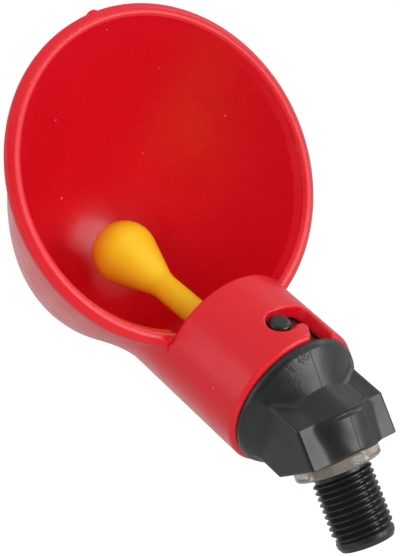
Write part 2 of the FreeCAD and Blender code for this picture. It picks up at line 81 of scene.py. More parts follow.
# Levels that the wall formula is worked out for, 0 at the rim and 1 at the bottom
WALL_LEVELS = (-0.2, 0.9999)

# Share of the radius that the floor formula holds out to, and the rounds that solve it
FLOOR_RING_LIMIT = 0.6
FLOOR_ROUNDS = 8

# Sleeve with its hood and bayonet slots
SLEEVE_RADIUS = 12.4 * MM
SLEEVE_BORE = 10.0 * MM
SLEEVE_BLEND = 2.2 * MM
SLEEVE_END_ROUND = 0.9 * MM
SLEEVE_ROOT_ROUND = 0.3 * MM
SLEEVE_UNDER_LIP = 0.3 * MM
SLEEVE_BESIDE_LIP = 0.5 * MM
SLEEVE_BORE_ROUND = 0.35 * MM
HOOD_START = 18.3 * MM
HOOD_ROUND = 0.8 * MM
POCKET_PLACE = 30.5 * MM
POCKET_RADIUS = 2.45 * MM
POCKET_SHIFT = 0.1 * MM
SLOT_ROUND = 0.35 * MM
TONGUE_ROUND = 0.45 * MM

# Corners of a slot in millimetres: round the sleeve from its top line, and along it from its root
SLOT_CORNERS = (
    (0.2, 27.65), (0.2, 33.0), (-1.2, 32.85), (-2.45, 32.8), (-2.8, 33.3), (-0.9, 36.3), (-0.9, 37.5),
    (-7.2, 37.5), (-7.2, 36), (-7.65, 30.85), (-7.65, 28.9), (-6.85, 27.65),
)

# The inner side of a turned outline lies this far beyond the axis, so that no edge forms there
BEYOND_AXIS = -20 * MM

# Fitting: its barrel, with places along the barrel axis from the bend
SPIGOT_END = 23.1 * MM
SPIGOT_RADIUS = 9.9 * MM
FLANGE_FRONT = 7.1 * MM
FLANGE_BACK = 6.3 * MM
FLANGE_RADIUS = 11.7 * MM
CONE_START = 5.6 * MM
CONE_START_RADIUS = 11.36 * MM
CONE_END = 1.6 * MM
NECK_RADIUS = 6.8 * MM
NECK_END = -12 * MM
BARREL_ROUND = 0.3 * MM
LUG_PLACE = 12.6 * MM
LUG_SHIFT = 0.2 * MM
LUG_RADIUS = 1.85 * MM
LUG_REACH = 12.3 * MM
LUG_ROUND = 0.8 * MM

# Hub, grip wings and threaded stub, with places along Y
HUB_BACK = -9.0 * MM
HUB_BACK_RADIUS = 7.5 * MM
HUB_SHOULDER = -8.0 * MM
HUB_SHOULDER_RADIUS = 7.98 * MM
HUB_FRONT = -2.3 * MM
HUB_FRONT_RADIUS = 7.4 * MM
HUB_LEVEL = -0.663 * MM  # above it the barrel stops at the hub's back
HUB_ROUND = 0.4 * MM
HUB_BLEND = 0.6 * MM
WING_TOP = 5.9 * MM
WING_BACK_CORNER = (-14.9 * MM, 0.0)
WING_LOW_CORNER = (-7.23 * MM, -8.60 * MM)
WING_FOOT = -3.67 * MM
WING_HALF_WIDTH = 8.75 * MM
WING_ROUND = 0.55 * MM
WING_BLEND = 0.8 * MM
STUB_ROOT = -4 * MM
COLLAR_START = 10.5 * MM
COLLAR_CREST = (10.9 * MM, 4.85 * MM)
COLLAR_EDGE = (11.6 * MM, 4.8 * MM)
STUB_END = 12.4 * MM
STUB_END_RADIUS = 4.35 * MM
STUB_ROUND = 0.15 * MM

# Hollow of the fitting: the seal's seat, the valve chamber and the water passage, along the barrel axis
SEAT_MOUTH = 24.1 * MM
SEAT_RADIUS = 8.3 * MM
SEAT_FACE = 19.5 * MM
CHAMBER_RADIUS = 5.6 * MM
CHAMBER_BACK = 9.0 * MM
INLET_RADIUS = 2.6 * MM
INLET_ROUND = 0.3 * MM

# Flow wrinkles on the cone's side, and the gate that the plastic came in by
FLOW_PLACE = Vector((5.5, -16.4, 2.6)) * MM
FLOW_RADIUS = 4.0 * MM
FLOW_DEPTH_SHARE = 0.3
FLOW_SCALE = 420.0
FLOW_TWIST = 1.2
FLOW_FOLD = 0.09
GATE_PLACE = Vector((1.5, -19.1, 3.95)) * MM
GATE_RADIUS = 1.6 * MM

# Fine lines that the mould leaves: their half widths, full and faded, and where along Y they fade in
CUP_LINE = (0.04 * MM, 0.13 * MM)
CUP_LINE_FADE = (-26 * MM, -23.5 * MM)
FITTING_LINE = (0.03 * MM, 0.11 * MM)
FITTING_LINE_FADE = (-20 * MM, -19 * MM)
MARK_DEPTH = 0.05 * MM

# Dust: cells for each metre, a speck's size in its cell, how pale it is, and the share of cells without one
DUST_CELLS = 330.0
DUST_SPECK = (0.04, 0.09)
DUST_STRENGTH = 0.75
DUST_FREE = 0.88

# Slow drift of a plastic's colour, and haze that makes its gloss uneven: scale, and span of the noise in use
DRIFT_SCALE = 38.0
DRIFT_SPAN = (0.35, 0.65)
HAZE_SCALE = 240.0
HAZE_SPAN = (0.3, 0.7)

# Thread on the stub
THREAD_CORE = 4.4 * MM
THREAD_HEIGHT = 0.58 * MM
THREAD_PITCH = 1.0 * MM
THREAD_TURNS = 10.2
THREAD_START = 0.3 * MM
CREST_SHARE = 0.2
THREAD_SINK_SHARE = 0.35
THREAD_RUN_OUT = 45.0
THREAD_SECTION_POINTS = 16
THREAD_STEPS = 120
THREAD_CRISP_ANGLE = 0.4
PARTING_SHARE = 0.955
PARTING_FLAT = 0.1 * MM
PARTING_FADE = 0.36 * MM

# Trigger, along its stem from the face of its valve head, and how far it droops below the barrel axis
TRIGGER_DROOP = math.radians(2.4)
HEAD_PLACE = 19.45 * MM
HEAD_RADIUS = 4.6 * MM
HEAD_THICKNESS = 1.6 * MM
PILOT_RADIUS = 1.9 * MM
PILOT_LENGTH = 1.6 * MM
STEM_RADIUS = 2.3 * MM
STEM_START = -0.5 * MM
STEM_FINISH = 30.5 * MM
NECK_EASE = 0.4 * MM
HEAD_ROUND = 0.25 * MM
PILOT_ROUND = 0.2 * MM
PILOT_BLEND = 0.1 * MM
HEAD_BLEND = 0.2 * MM
BULB_PLACE = 33.1 * MM
BULB_RADIUS = 5.6 * MM
BULB_TANGENT = math.radians(71)

# Sealing washer
WASHER_RADIUS = 7.1 * MM
WASHER_BORE = 5.1 * MM
WASHER_MIDDLE = -1.28 * MM
WASHER_THICKNESS = 2.0 * MM
WASHER_ROUND = 0.45 * MM
WASHER_BORE_ROUND = 0.15 * MM

# Settling of the fine meshes: the least slope squared to divide by, and the longest move in one round
LEAST_SLOPE = 0.05
LONGEST_MOVE = 0.6 * MM

# Share of the way to its neighbours' middle that a point goes in one round of evening
EVENING_SHARE = 0.5

# Points of a CAD node's loose triangles that lie this close are one
WELD_DISTANCE = 0.002 * MM

# Camera, fitted to the photograph: its place, where it looks, and its focal length in pixels of the photo
CAMERA_PLACE = RIM_CENTRE + np.array((173.3, 7.21, 274.55)) * MM
CAMERA_LOOK = (-0.52958, 0.03260, -0.84764)
CAMERA_UP = (-0.32161, -0.93237, 0.16508)
FOCAL_PIXELS = 2000
PHOTO_HEIGHT = 556
SENSOR_WIDTH = 36
CAMERA_LENS = FOCAL_PIXELS / PHOTO_HEIGHT * SENSOR_WIDTH

# Studio
OBJECT_MIDDLE = Vector((0, -0.04, -0.02))
FLOOR_SIZE = 3.0
FLOOR_PLACE = (0, -0.04, -0.14)
FLOOR_GLOW = 0.07

# Studio walls: how bright they are low down and high up, the extra glow of the ground, and what is left of
# the light where the photographer stands, each with the span of the view's way that it changes over
WALLS_LOW = 0.50
WALLS_HIGH = 0.62
WALLS_SPAN = (-0.35, 0.1)
GROUND_EXTRA = 0.32
GROUND_SPAN = (-0.98, -0.88)
PHOTOGRAPHER_WAY = Vector((0.53, -0.03, 0.85))
PHOTOGRAPHER_SHARE = 0.2
PHOTOGRAPHER_SPAN = (0.68, 0.86)


# Rounded solids: each function gives the distance of points to a surface, below zero inside

def joined(a, b, radius):
    """Both solids as one, with a fillet of that radius in the corner between them."""
    corner = np.hypot(np.maximum(radius - a, 0), np.maximum(radius - b, 0))
    return np.maximum(radius, np.minimum(a, b)) - corner


def shared(a, b, radius):
    """What both solids share, with its edge rounded."""
    corner = np.hypot(np.maximum(radius + a, 0), np.maximum(radius + b, 0))
    return np.minimum(-radius, np.maximum(a, b)) + corner


def cut(a, b, radius):
    """The first solid less the second, with the new edge rounded."""
    return shared(a, -b, radius)


def eased(a, b, width):
    """Both solids as one, with a long soft curve where they meet at a shallow angle."""
    near = np.maximum(width - np.abs(a - b), 0) / width
    return np.minimum(a, b) - near * near * width / 4


def inset(ends, depth):
    """The outline moved inwards by a depth, with its corners mitred."""
    before = ends - np.roll(ends, 1, axis=0)
    after = np.roll(ends, -1, axis=0) - ends
    turn = np.sign(np.sum(ends[:, 0] * np.roll(ends, -1, axis=0)[:, 1]
                          - ends[:, 1] * np.roll(ends, -1, axis=0)[:, 0]))
    before = before / np.linalg.norm(before, axis=1)[:, None]
    after = after / np.linalg.norm(after, axis=1)[:, None]
    inward_before = turn * np.stack((-before[:, 1], before[:, 0]), axis=1)
    inward_after = turn * np.stack((-after[:, 1], after[:, 0]), axis=1)
    middle = inward_before + inward_after
    return ends + depth * middle * (2 / np.sum(middle * middle, axis=1))[:, None]


def outline_distance(u, v, corners, radius=0.0):
    """Distance to a closed outline whose outer corners are rounded."""
    ends = np.array(corners, float)
    if radius:
        ends = inset(ends, radius)
    nearest = np.full(u.shape, np.inf)
    inside = np.zeros(u.shape, bool)
    for (u0, v0), (u1, v1) in zip(ends, np.roll(ends, -1, axis=0)):
        du, dv = u1 - u0, v1 - v0
        share = np.clip(((u - u0) * du + (v - v0) * dv) / (du * du + dv * dv), 0, 1)
        nearest = np.minimum(nearest, np.hypot(u - u0 - share * du, v - v0 - share * dv))
        if dv:
            inside ^= ((v0 > v) != (v1 > v)) & (u < u0 + (v - v0) * du / dv)
    return np.where(inside, -nearest, nearest) - radius


def barrel_place(points):
    """Distance along the barrel axis from the bend, height square to it, and distance from the axis."""
    along = (points - BEND) @ DOWN
    above = (points - BEND) @ RISE
    return along, above, np.hypot(points[:, 0], above)


def bowl_distance(points, radius, depth):
    """Distance to a bowl whose level sections narrow downwards and drift towards the sleeve."""
    x, y, z = points.T
    fall = depth - RIM_HEIGHT
    level = np.clip(-(z + RIM_HEIGHT) / fall, *WALL_LEVELS)
    share = np.cbrt(1 - level)
    off_y = y - BOWL_LEAN * level
    reach = np.maximum(np.hypot(x, off_y), 1e-9)
    slope = radius / (3 * share**2 * fall)
    lean = off_y / reach * BOWL_LEAN / fall
    wall = (reach - radius * share) / np.hypot(1, lean - slope)
    ring = np.clip(np.hypot(x, y - BOWL_LEAN) / radius, 0, FLOOR_RING_LIMIT)
    for _ in range(FLOOR_ROUNDS):
        ring = np.clip(np.hypot(x, y - BOWL_LEAN * (1 - ring**3)) / radius, 0, FLOOR_RING_LIMIT)
    floor = (-(RIM_HEIGHT + fall * (1 - ring**3)) - z) / np.hypot(1, 3 * fall * ring**2 / radius)
    weight = np.clip((share - FLOOR_SHARE) / FLOOR_FADE, 0, 1)
    return weight * wall + (1 - weight) * floor


def slot_outline(side):
    """A bayonet slot round the sleeve: locking pocket at the middle, leg out to the mouth at one side."""
    return [(side * round_sleeve * MM, run * MM) for round_sleeve, run in SLOT_CORNERS]


def cup_distance(points):
    """Bowl, beaded rim, sleeve with its hood, and both slots."""
    local = points - RIM_CENTRE
    x, y, z = local.T
    ring = np.hypot(x, y)
    along, above, around = barrel_place(points)
    run = SLEEVE_END + SLEEVE_RUN - along
    sleeve = shared(around - SLEEVE_RADIUS, run - SLEEVE_RUN, SLEEVE_END_ROUND)
    sleeve = shared(sleeve, -run, SLEEVE_ROOT_ROUND)
    under_lip = np.maximum(sleeve, z + RIM_HEIGHT - SLEEVE_UNDER_LIP)
    beside_lip = np.maximum(sleeve, np.maximum(z + SLEEVE_BESIDE_LIP, LIP_RADIUS - SLEEVE_BESIDE_LIP - ring))
    sleeve = np.minimum(cut(sleeve, run - HOOD_START, HOOD_ROUND), np.minimum(under_lip, beside_lip))
    bowl = np.maximum(bowl_distance(local, BOWL_RADIUS, BOWL_DEPTH), z + BOWL_LAP)
    solid = joined(bowl, sleeve, SLEEVE_BLEND)
    lip_level = np.abs(z + (RIM_HEIGHT + RIM_STEP) / 2) - (RIM_HEIGHT - RIM_STEP) / 2
    lip = shared(ring - LIP_RADIUS, lip_level, LIP_ROUND)
    bead = shared(ring - BEAD_RADIUS, np.abs(z + RIM_HEIGHT / 2) - RIM_HEIGHT / 2, BEAD_ROUND)
    solid = joined(solid, joined(lip, bead, LIP_FILLET), RIM_BLEND)
    nub_middle = (LIP_RADIUS + NUB_PROUD - NUB_RADIUS) * np.array((math.cos(NUB_TURN), -math.sin(NUB_TURN)))
    nub_side = np.hypot(x - nub_middle[0], y - nub_middle[1]) - NUB_RADIUS
    solid = joined(solid, shared(nub_side, lip_level, NUB_ROUND), NUB_BLEND)
    inner = BOWL_RADIUS - BOWL_WALL
    hollow = np.maximum(bowl_distance(local, inner, BOWL_DEPTH - BOWL_WALL), z + RIM_HEIGHT - MOUTH_LAP)
    mouth_share = np.clip((z + RIM_HEIGHT) / (RIM_HEIGHT - RIM_STEP), 0, 1)
    mouth_radius = inner + (MOUTH_RADIUS - inner) * mouth_share
    mouth = np.maximum(np.maximum(ring - mouth_radius, -(z + RIM_HEIGHT)), run - HOOD_START)
    solid = cut(solid, np.minimum(hollow, mouth), MOUTH_ROUND)
    solid = cut(solid, np.maximum(around - SLEEVE_BORE, -run), SLEEVE_BORE_ROUND)
    round_sleeve = x * SLEEVE_RADIUS / np.maximum(around, 1 * MM)
    for side in (1, -1):
        slot = outline_distance(round_sleeve, run, slot_outline(side)) + TONGUE_ROUND
        pocket = np.hypot(round_sleeve - side * POCKET_SHIFT, run - POCKET_PLACE) - POCKET_RADIUS
        through = np.maximum(np.minimum(slot, pocket), -side * above)
        solid = cut(solid, through, SLOT_ROUND)
    return solid


def elbow_distance(points):
    """Spigot with lugs, flange, cone, neck, grip wings, hub and the core of the threaded stub."""
    x, y, z = points.T
    along, above, around = barrel_place(points)
    barrel = outline_distance(along, around, (
        (SPIGOT_END, BEYOND_AXIS), (SPIGOT_END, SPIGOT_RADIUS), (FLANGE_FRONT, SPIGOT_RADIUS),
        (FLANGE_FRONT, FLANGE_RADIUS), (FLANGE_BACK, FLANGE_RADIUS), (CONE_START, CONE_START_RADIUS),
        (CONE_END, NECK_RADIUS), (NECK_END, NECK_RADIUS), (NECK_END, BEYOND_AXIS),
    ), BARREL_ROUND)
    over_hub = np.maximum(HUB_BACK - y, HUB_LEVEL - z)
    barrel = np.maximum(barrel, -np.minimum(over_hub, HUB_FRONT - y))
    turned = np.hypot(x, z)
    hub = outline_distance(y, turned, (
        (HUB_BACK, BEYOND_AXIS), (HUB_BACK, HUB_BACK_RADIUS), (HUB_SHOULDER, HUB_SHOULDER_RADIUS),
        (HUB_FRONT, HUB_FRONT_RADIUS), (HUB_FRONT, BEYOND_AXIS),
    ), HUB_ROUND)
    stub = outline_distance(y, turned, (
        (STUB_ROOT, BEYOND_AXIS), (STUB_ROOT, THREAD_CORE), (COLLAR_START, THREAD_CORE),
        COLLAR_CREST, COLLAR_EDGE, (STUB_END, STUB_END_RADIUS), (STUB_END, BEYOND_AXIS),
    ), STUB_ROUND)
    wings = outline_distance(y, z, (
        (HUB_FRONT, WING_TOP), (HUB_BACK, WING_TOP), WING_BACK_CORNER, WING_LOW_CORNER,
        (HUB_FRONT, WING_FOOT),
    ))
    wings = shared(wings, np.abs(x) - WING_HALF_WIDTH, WING_ROUND)
    solid = joined(barrel, hub, HUB_BLEND)
    solid = np.minimum(joined(solid, wings, WING_BLEND), stub)
    lug_off = x - np.sign(above) * LUG_SHIFT
    lugs = shared(np.hypot(lug_off, along - LUG_PLACE) - LUG_RADIUS, np.abs(above) - LUG_REACH, LUG_ROUND)
    solid = np.minimum(solid, lugs)
    chamber = outline_distance(along, around, (
        (SEAT_MOUTH, BEYOND_AXIS), (SEAT_MOUTH, SEAT_RADIUS), (SEAT_FACE, SEAT_RADIUS),
        (SEAT_FACE, CHAMBER_RADIUS), (CHAMBER_BACK, CHAMBER_RADIUS), (CHAMBER_BACK, INLET_RADIUS),
        (0, INLET_RADIUS), (0, BEYOND_AXIS),
    ))
    inlet = np.maximum(turned - INLET_RADIUS, BEND[1] - y)
    return cut(solid, np.minimum(chamber, inlet), INLET_ROUND)


def trigger_distance(points):
    """Valve head with the spring's pilot, stem, and pear-shaped end."""
    turn = SLOPE - TRIGGER_DROOP
    stem_way = np.array((0, -math.cos(SLOPE + TRIGGER_DROOP), -math.sin(SLOPE + TRIGGER_DROOP)))
    edge_way = np.array((0, -math.cos(turn), math.sin(turn)))
    tipping_edge = BEND + DOWN * HEAD_PLACE + RISE * HEAD_RADIUS
    local = points - (tipping_edge - edge_way * HEAD_RADIUS)
    level = local @ stem_way
    reach = np.hypot(points[:, 0], local @ edge_way)
    stem = np.maximum(reach - STEM_RADIUS, np.maximum(STEM_START - level, level - STEM_FINISH))
    before_bulb = BULB_PLACE - level
    taper = before_bulb * math.cos(BULB_TANGENT) + reach * math.sin(BULB_TANGENT) - BULB_RADIUS
    taper = np.maximum(taper, BULB_RADIUS * math.cos(BULB_TANGENT) - before_bulb)
    shaft = np.minimum(eased(stem, taper, NECK_EASE), np.hypot(before_bulb, reach) - BULB_RADIUS)
    head = shared(reach - HEAD_RADIUS, np.abs(level + HEAD_THICKNESS / 2) - HEAD_THICKNESS / 2, HEAD_ROUND)
    pilot = level + HEAD_THICKNESS + PILOT_LENGTH / 2
    pilot = shared(reach - PILOT_RADIUS, np.abs(pilot) - PILOT_LENGTH / 2, PILOT_ROUND)
    return joined(shaft, joined(head, pilot, PILOT_BLEND), HEAD_BLEND)


def washer_distance(points):
    """Flat silicone ring with its edges worn soft."""
    reach = np.hypot(points[:, 0], points[:, 2])
    slab = np.abs(points[:, 1] - WASHER_MIDDLE) - WASHER_THICKNESS / 2
    return cut(shared(reach - WASHER_RADIUS, slab, WASHER_ROUND), reach - WASHER_BORE, WASHER_BORE_ROUND)


def slope_of(distance, points, step=0.01 * MM):
    """The way that the distance grows, at each point."""
    rows = []
    for axis in np.eye(3) * step:
        rows.append((distance(points + axis) - distance(points - axis)) / (2 * step))
    return np.stack(rows, axis=1)


def normals_of(distance, points):
    """The surface's outward direction at each point."""
    slope = slope_of(distance, points)
    return slope / np.maximum(np.linalg.norm(slope, axis=1), 1e-9)[:, None]


def settled(distance, points, rounds=3):
    """Points moved onto the surface along its slope."""
    for _ in range(rounds):
        slope = slope_of(distance, points)
        size = np.maximum(np.sum(slope * slope, axis=1), LEAST_SLOPE)
        move = -(distance(points) / size)[:, None] * slope
        length = np.linalg.norm(move, axis=1)
        limit = np.minimum(1, LONGEST_MOVE / np.maximum(length, 1e-12))
        points = points + move * limit[:, None]
    return points


def points_of(mesh):
    """The places of a mesh's points, one in each row."""
    points = np.empty(len(mesh.vertices) * 3, np.float32)
    mesh.vertices.foreach_get("co", points)
    return points.reshape(-1, 3).astype(float)


def evened(distance, mesh, points, rounds):
    """Points spread evenly over the surface that they lie on."""
    edges = np.empty(len(mesh.edges) * 2, np.int32)
    mesh.edges.foreach_get("vertices", edges)
    starts, ends = edges.reshape(-1, 2).T
    count = np.bincount(edges, minlength=len(points)).astype(float)
    for _ in range(rounds):
        total = np.zeros_like(points)
        for column in range(3):
            total[:, column] = (
                np.bincount(starts, points[ends, column], len(points))
                + np.bincount(ends, points[starts, column], len(points))
            )
        normal = normals_of(distance, points)
        shift = total / count[:, None] - points
        shift -= np.sum(shift * normal, axis=1)[:, None] * normal
        points = settled(distance, points + EVENING_SHARE * shift, rounds=1)
    return points


def divided(mesh, normals, bend):
    """Halves the edges over which the surface bends by more than an angle."""
    work = bmesh.new()
    work.from_mesh(mesh)
    work.verts.ensure_lookup_table()
    least = math.cos(bend)
    sharp = [
        edge for edge in work.edges
        if normals[edge.verts[0].index] @ normals[edge.verts[1].index] < least
    ]
    bmesh.ops.subdivide_edges(work, edges=sharp, cuts=1, use_grid_fill=True)
    work.to_mesh(mesh)
    work.free()


def skinned(name, source, distance, voxel, bends):
    """A fine mesh of a moulding: the node's solid remeshed, with its points settled on the rounded shape."""
    mesh = source.data.copy()
    mesh.name = name
    mesh.materials.clear()
    piece = bpy.data.objects.new(name, mesh)
    bpy.context.scene.collection.objects.link(piece)
    work = bmesh.new()
    work.from_mesh(mesh)
    bmesh.ops.remove_doubles(work, verts=work.verts, dist=WELD_DISTANCE)
    work.to_mesh(mesh)
    work.free()
    remesh = piece.modifiers.new("even_faces", "REMESH")
    remesh.mode = "VOXEL"
    remesh.voxel_size = voxel
    remesh.adaptivity = 0
    graph = bpy.context.evaluated_depsgraph_get()
    even = bpy.data.meshes.new_from_object(piece.evaluated_get(graph))
    even.name = name
    piece.modifiers.clear()
    piece.data = even
    points = settled(distance, points_of(even), rounds=4)
    points = evened(distance, even, points, rounds=4)
    for bend in bends:
        even.vertices.foreach_set("co", points.astype(np.float32).ravel())
        divided(even, normals_of(distance, points), math.radians(bend))
        points = settled(distance, points_of(even), rounds=3)
        points = evened(distance, even, points, rounds=2)
    points = settled(distance, points, rounds=2)
    even.vertices.foreach_set("co", points.astype(np.float32).ravel())
    even.update()
    for polygon in even.polygons:
        polygon.use_smooth = True
    even.normals_split_custom_set_from_vertices(normals_of(distance, points).tolist())
    return piece


# Materials

def new_group(name, inputs, outputs):
    """A shader group with named inputs and outputs, each with its default."""
    group = bpy.data.node_groups.new(name, "ShaderNodeTree")
    for label, kind, default in inputs:
        socket = group.interface.new_socket(label, in_out="INPUT", socket_type=kind)
        if default is not None:
            socket.default_value = default
    for label, kind in outputs:
        group.interface.new_socket(label, in_out="OUTPUT", socket_type=kind)
    return group, group.nodes.new("NodeGroupInput"), group.nodes.new("NodeGroupOutput")


def linked(tree, kind, settings=None, **wires):
    """A node with its settings, and its inputs wired or set by their names."""
    node = tree.nodes.new(kind)
    for key, setting in (settings or {}).items():
        setattr(node, key, setting)
    for key, source in wires.items():
        feed(tree, node.inputs[key.replace("_", " ")], source)
    return node


def feed(tree, socket, source):
    """Wires a socket to another, or gives it a plain value."""
    if isinstance(source, bpy.types.NodeSocket):
        tree.links.new(source, socket)
    else:
        socket.default_value = source


def reckon(tree, operation, *values):
    """The answer of a Math node."""
    node = tree.nodes.new("ShaderNodeMath")
    node.operation = operation
    for socket, source in zip(node.inputs, values):
        feed(tree, socket, source)
    return node.outputs[0]


def remap(tree, source, low, high, first, last):
    """A smooth change from one value to another while the source goes from low to high."""
    node = linked(tree, "ShaderNodeMapRange", {"interpolation_type": "SMOOTHSTEP"})
    for key, setting in (("From Min", low), ("From Max", high), ("To Min", first), ("To Max", last)):
        feed(tree, node.inputs[key], setting)
    tree.links.new(source, node.inputs["Value"])
    return node.outputs["Result"]


def moulding_finish():
    """Colour drift, specks of dust, uneven gloss, and the waves and fine skin that a mould leaves."""
    group, given, result = new_group("moulding_finish", [
        ("Place", "NodeSocketVector", None),
        ("Colour", "NodeSocketColor", (0.5, 0.5, 0.5, 1)),
        ("Deep colour", "NodeSocketColor", (0.4, 0.4, 0.4, 1)),
        ("Smooth", "NodeSocketFloat", 0.25),
        ("Rough", "NodeSocketFloat", 0.35),
        ("Dust colour", "NodeSocketColor", (0.7, 0.6, 0.55, 1)),
        ("Skin scale", "NodeSocketFloat", 1800),
        ("Wave scale", "NodeSocketFloat", 300),
    ], [
        ("Colour", "NodeSocketColor"), ("Roughness", "NodeSocketFloat"),
        ("Skin", "NodeSocketFloat"), ("Waves", "NodeSocketFloat"),
    ])
    drift = linked(group, "ShaderNodeTexNoise", Vector=given.outputs["Place"], Scale=DRIFT_SCALE, Detail=3.0)
    share = remap(group, drift.outputs[0], *DRIFT_SPAN, 0.0, 1.0)
    blend = linked(group, "ShaderNodeMix", {"data_type": "RGBA"})
    group.links.new(share, blend.inputs[0])
    group.links.new(given.outputs["Colour"], blend.inputs[6])
    group.links.new(given.outputs["Deep colour"], blend.inputs[7])
    spots = linked(group, "ShaderNodeTexVoronoi", Vector=given.outputs["Place"], Scale=DUST_CELLS)
    chosen = linked(group, "ShaderNodeSeparateColor", Color=spots.outputs["Color"])
    paleness = remap(group, spots.outputs["Distance"], *DUST_SPECK, DUST_STRENGTH, 0.0)
    dusty = reckon(group, "GREATER_THAN", chosen.outputs["Red"], DUST_FREE)
    speck = reckon(group, "MULTIPLY", paleness, dusty)
    dusted = linked(group, "ShaderNodeMix", {"data_type": "RGBA"})
    group.links.new(speck, dusted.inputs[0])
    group.links.new(blend.outputs[2], dusted.inputs[6])
    group.links.new(given.outputs["Dust colour"], dusted.inputs[7])
    group.links.new(dusted.outputs[2], result.inputs["Colour"])
    haze = linked(group, "ShaderNodeTexNoise", Vector=given.outputs["Place"], Scale=HAZE_SCALE, Detail=4.0)
    gloss = linked(group, "ShaderNodeMapRange", Value=haze.outputs[0])
    gloss.inputs["From Min"].default_value, gloss.inputs["From Max"].default_value = HAZE_SPAN
    group.links.new(given.outputs["Smooth"], gloss.inputs["To Min"])
    group.links.new(given.outputs["Rough"], gloss.inputs["To Max"])
    group.links.new(gloss.outputs["Result"], result.inputs["Roughness"])
    skin = linked(group, "ShaderNodeTexNoise", Vector=given.outputs["Place"], Detail=2.0)
    group.links.new(given.outputs["Skin scale"], skin.inputs["Scale"])
    group.links.new(skin.outputs[0], result.inputs["Skin"])
    waves = linked(group, "ShaderNodeTexNoise", Vector=given.outputs["Place"], Detail=0.0)
    group.links.new(given.outputs["Wave scale"], waves.inputs["Scale"])
    group.links.new(waves.outputs[0], result.inputs["Waves"])
    return group


MOULDING = moulding_finish()


def material(name, colour, roughness):
    """A new node material with its tree and its main shader."""
    made = bpy.data.materials.new(name)
    made.use_nodes = True
    shader = made.node_tree.nodes["Principled BSDF"]
    shader.inputs["Base Color"].default_value = (*colour, 1)
    shader.inputs["Roughness"].default_value = roughness
    return made, made.node_tree, shader


def moulded(name, colour, deep, dust, gloss, skin, waves, marks=None):
    """A finish from the moulding group: gloss is a range, and skin and waves are a scale and a depth."""
    made, tree, shader = material(name, colour, gloss[1])
    place = linked(tree, "ShaderNodeTexCoord").outputs["Object"]
    finish = tree.nodes.new("ShaderNodeGroup")
    finish.node_tree = MOULDING
    tree.links.new(place, finish.inputs["Place"])
    finish.inputs["Colour"].default_value = (*colour, 1)
    finish.inputs["Deep colour"].default_value = (*deep, 1)
    finish.inputs["Dust colour"].default_value = (*dust, 1)
    finish.inputs["Smooth"].default_value, finish.inputs["Rough"].default_value = gloss
    finish.inputs["Skin scale"].default_value = skin[0]
    finish.inputs["Wave scale"].default_value = waves[0]
    tree.links.new(finish.outputs["Colour"], shader.inputs["Base Color"])
    tree.links.new(finish.outputs["Roughness"], shader.inputs["Roughness"])
    heights = [(finish.outputs["Waves"], waves[1]), (finish.outputs["Skin"], skin[1])]
    if marks:
        heights.append((marks(tree, place), MARK_DEPTH))
    normal = None
    for height, depth in heights:
        bump = linked(tree, "ShaderNodeBump", Height=height, Distance=depth, Strength=1.0)
        if normal:
            tree.links.new(normal, bump.inputs["Normal"])
        normal = bump.outputs["Normal"]
    tree.links.new(normal, shader.inputs["Normal"])
    return made, shader


def cup_mould_line(tree, place):
    """The fine line that the halves of the mould leave along both sides of the sleeve."""
    off = linked(tree, "ShaderNodeVectorMath", {"operation": "DOT_PRODUCT"})
    tree.links.new(place, off.inputs[0])
    off.inputs[1].default_value = RISE
    height = reckon(tree, "SUBTRACT", off.outputs["Value"], float(BEND @ RISE))
    line = remap(tree, reckon(tree, "ABSOLUTE", height), *CUP_LINE, 1.0, 0.0)
    split = linked(tree, "ShaderNodeSeparateXYZ", Vector=place)
    return reckon(tree, "MULTIPLY", line, remap(tree, split.outputs["Y"], *CUP_LINE_FADE, 0.0, 1.0))


def near_place(tree, place, middle, radius):
    """One within half the radius of a spot, and zero beyond the radius."""
    away = linked(tree, "ShaderNodeVectorMath", {"operation": "DISTANCE"})
    tree.links.new(place, away.inputs[0])
    away.inputs[1].default_value = middle
    return remap(tree, away.outputs["Value"], radius / 2, radius, 1.0, 0.0)


def fitting_marks(tree, place):
    """The mould's line down the middle of the cone and the hub, flow wrinkles on the cone, and the gate."""
    split = linked(tree, "ShaderNodeSeparateXYZ", Vector=place)
    off = reckon(tree, "ABSOLUTE", split.outputs["X"])
    line = remap(tree, off, *FITTING_LINE, 1.0, 0.0)
    line = reckon(tree, "MULTIPLY", line, remap(tree, split.outputs["Y"], *FITTING_LINE_FADE, 0.0, 1.0))
    flow = linked(tree, "ShaderNodeTexNoise", Vector=place, Scale=FLOW_SCALE, Detail=2.0,
                  Distortion=FLOW_TWIST)
    from_fold = reckon(tree, "ABSOLUTE", reckon(tree, "SUBTRACT", flow.outputs[0], 0.5))
    fold = remap(tree, from_fold, 0.0, FLOW_FOLD, 1.0, 0.0)
    flow_depth = reckon(tree, "MULTIPLY", near_place(tree, place, FLOW_PLACE, FLOW_RADIUS), FLOW_DEPTH_SHARE)
    depth = reckon(tree, "MAXIMUM", flow_depth, near_place(tree, place, GATE_PLACE, GATE_RADIUS))
    return reckon(tree, "MAXIMUM", line, reckon(tree, "MULTIPLY", fold, depth))


def dress(piece, made):
    """Gives a piece that one material."""
    piece.data.materials.clear()
    piece.data.materials.append(made)


